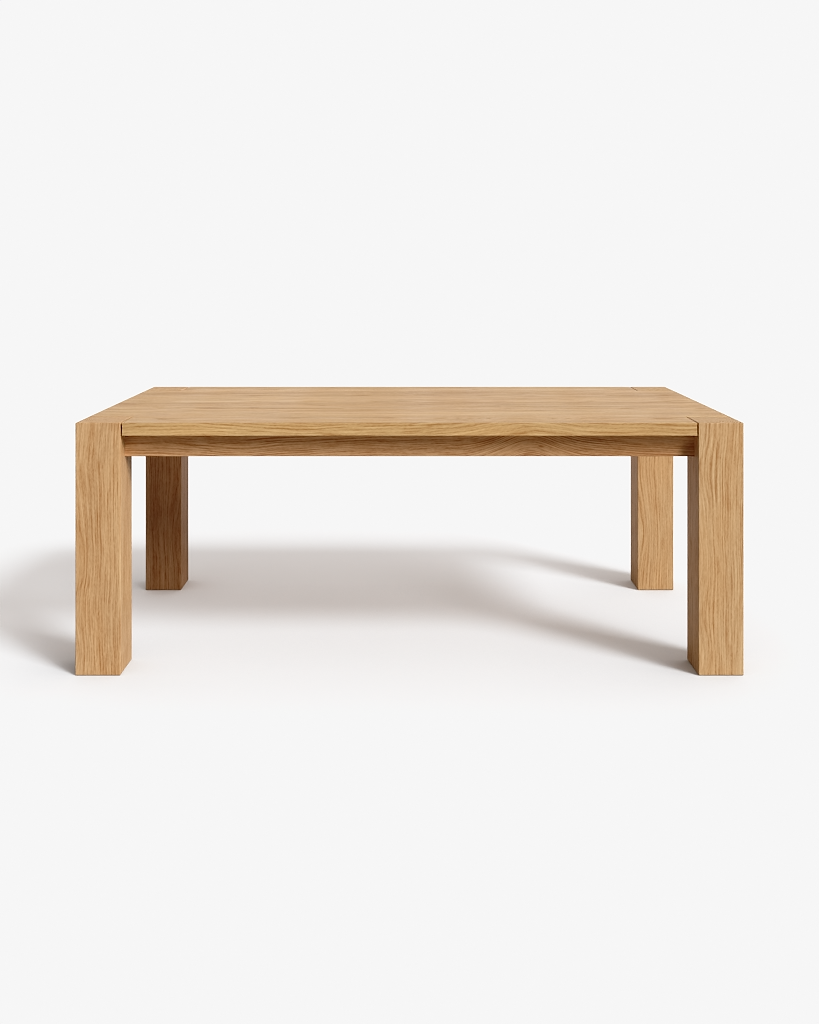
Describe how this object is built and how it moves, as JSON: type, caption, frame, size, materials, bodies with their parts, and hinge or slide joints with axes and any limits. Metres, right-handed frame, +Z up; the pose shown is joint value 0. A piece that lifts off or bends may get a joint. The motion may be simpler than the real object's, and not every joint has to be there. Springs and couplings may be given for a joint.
{
  "type": "parsons dining table",
  "caption": "Rectangular dining table: square corner legs flush with a solid oak boarded top, recessed aprons and bolted corner brackets underneath.",
  "frame": {"origin": "on the floor, under the middle of the table", "axes": "+X along the table, +Y across it from front to rear, +Z up"},
  "size_m": [2, 1, 0.757],
  "materials": {
    "oak_top": "satin oiled oak boards, grain along the table",
    "oak_legs": "satin oiled oak, grain upright, glued lamellas",
    "oak_aprons": "satin oiled oak, grain along each apron",
    "oak_inside": "sanded oak, thin oil",
    "beech_dowel": "raw beech",
    "zinc_steel": "zinc plated, dull",
    "glide_nylon": "fine matt moulding"
  },
  "bodies": {
    "root": {"apron_dowels": "beech_dowel", "bolt_nuts": "zinc_steel", "bolt_washers": "zinc_steel", "bracket_screws": "zinc_steel", "button_screws": "zinc_steel", "corner_bracket_front_left": "zinc_steel", "corner_bracket_front_right": "zinc_steel", "corner_bracket_rear_left": "zinc_steel", "corner_bracket_rear_right": "zinc_steel", "cross_rail_left": "oak_inside", "cross_rail_right": "oak_inside", "front_apron": "oak_aprons", "glide_front_left": "glide_nylon", "glide_front_right": "glide_nylon", "glide_rear_left": "glide_nylon", "glide_rear_right": "glide_nylon", "glide_screws": "zinc_steel", "hanger_bolts": "zinc_steel", "left_apron": "oak_aprons", "leg_front_left_inner": "oak_legs", "leg_front_left_middle": "oak_legs", "leg_front_left_outer": "oak_legs", "leg_front_right_inner": "oak_legs", "leg_front_right_middle": "oak_legs", "leg_front_right_outer": "oak_legs", "leg_rear_left_inner": "oak_legs", "leg_rear_left_middle": "oak_legs", "leg_rear_left_outer": "oak_legs", "leg_rear_right_inner": "oak_legs", "leg_rear_right_middle": "oak_legs", "leg_rear_right_outer": "oak_legs", "rail_screws": "zinc_steel", "rail_washers": "zinc_steel", "rear_apron": "oak_aprons", "right_apron": "oak_aprons", "top_board_1_front": "oak_top", "top_board_2": "oak_top", "top_board_3": "oak_top", "top_board_4": "oak_top", "top_board_5": "oak_top", "top_board_6": "oak_top", "top_board_7": "oak_top", "top_board_8": "oak_top", "top_board_9_rear": "oak_top", "top_buttons": "oak_inside"}
  },
  "joints": []
}
